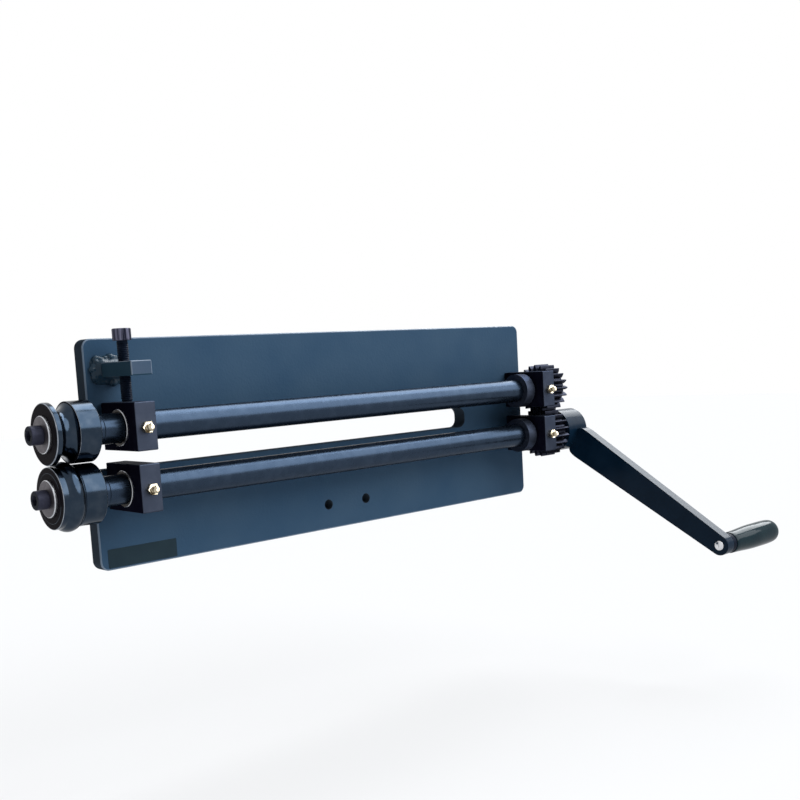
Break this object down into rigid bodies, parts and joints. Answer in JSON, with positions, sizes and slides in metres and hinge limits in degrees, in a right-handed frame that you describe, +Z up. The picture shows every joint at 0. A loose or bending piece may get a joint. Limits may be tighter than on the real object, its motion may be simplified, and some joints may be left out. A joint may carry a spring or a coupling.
{
  "type": "bead roller",
  "caption": "Hand-cranked bead roller: two geared shafts with grooved and beaded dies, bearing blocks and a pressing screw on a deep-throated steel plate.",
  "frame": {"origin": "on the plate's back face, halfway between the two mounting holes, at their height", "axes": "+X along the shafts from the dies to the crank, +Y out of the plate's back face, +Z up; the shafts lie on the plate's -Y side"},
  "size_m": [0.7671, 0.2795, 0.2706],
  "materials": {
    "slate_paint": "fine hammered slate paint, satin",
    "black_steel": "blackened steel, satin",
    "black_oxide": "black oxide, glossy",
    "bare_steel": "bare steel, lightly machined",
    "bronze": "sintered bronze, satin",
    "zinc": "bright yellow zinc plate",
    "crank_paint": "dark navy paint, glossy",
    "grip_plastic": "smooth dark blue-green, glossy"
  },
  "bodies": {
    "frame": {"frame_plate": "slate_paint", "adjuster_bracket": "slate_paint", "bracket_weld": "slate_paint", "lower_front_block": "black_steel", "lower_rear_block": "black_steel", "lower_front_bush": "bronze", "lower_rear_bush": "bronze", "lower_front_grease_fitting": "zinc", "lower_rear_grease_fitting": "zinc", "lower_block_screw_1": "black_oxide", "lower_block_screw_2": "black_oxide", "lower_block_screw_3": "black_oxide", "lower_block_screw_4": "black_oxide"},
    "upper_arm": {"upper_front_block": "black_steel", "upper_rear_block": "black_steel", "upper_front_bush": "bronze", "upper_rear_bush": "bronze", "upper_front_grease_fitting": "zinc", "upper_rear_grease_fitting": "zinc", "guide_bolt": "black_oxide", "guide_washer": "bare_steel", "pivot_bolt": "black_oxide", "pivot_washer": "bare_steel"},
    "adjuster": {"adjusting_screw": "black_oxide"},
    "lower_line": {"lower_shaft": "black_oxide", "lower_die": "black_oxide", "lower_die_key": "bare_steel", "lower_die_washer": "bare_steel", "lower_die_screw": "black_oxide", "lower_rear_collar": "black_steel", "lower_collar_set_screw": "black_oxide", "lower_gear": "black_steel", "lower_gear_key": "bare_steel", "crank_arm": "crank_paint", "crank_key": "bare_steel", "crank_set_screw": "black_oxide", "grip_pin": "bare_steel", "grip_collar": "black_steel"},
    "grip": {"grip": "grip_plastic", "grip_snap_ring": "bare_steel"},
    "upper_line": {"upper_shaft": "black_oxide", "upper_die": "black_oxide", "upper_die_key": "bare_steel", "upper_die_washer": "bare_steel", "upper_die_screw": "black_oxide", "upper_rear_collar": "black_steel", "upper_collar_set_screw": "black_oxide", "upper_gear": "black_steel", "upper_gear_key": "bare_steel", "upper_gear_ring": "black_oxide"}
  },
  "joints": [
    {"name": "crank_spin", "type": "hinge", "parent": "frame", "child": "lower_line", "pos_m": [0, -0.0465, 0.0478], "axis": [1, 0, 0], "continuous": true},
    {"name": "upper_tilt", "type": "hinge", "parent": "frame", "child": "upper_arm", "pos_m": [0.2605, 0, 0.0992], "axis": [0, 1, 0], "range_deg": [0, 0.88]},
    {"name": "upper_spin", "type": "hinge", "parent": "upper_arm", "child": "upper_line", "pos_m": [0, -0.0465, 0.0992], "axis": [1, 0, 0], "continuous": true},
    {"name": "grip_spin", "type": "hinge", "parent": "lower_line", "child": "grip", "pos_m": [0.35, -0.25588, -0.07553], "axis": [1, 0, 0], "continuous": true},
    {"name": "adjuster_travel", "type": "slide", "parent": "frame", "child": "adjuster", "axis": [0, 0, 1], "range_m": [0, 0.0082]}
  ],
  "couplings": [
    {"joint": "upper_spin", "follows": "crank_spin", "ratio": -1},
    {"joint": "adjuster_travel", "follows": "upper_tilt", "m_per_rad": 0.516}
  ]
}
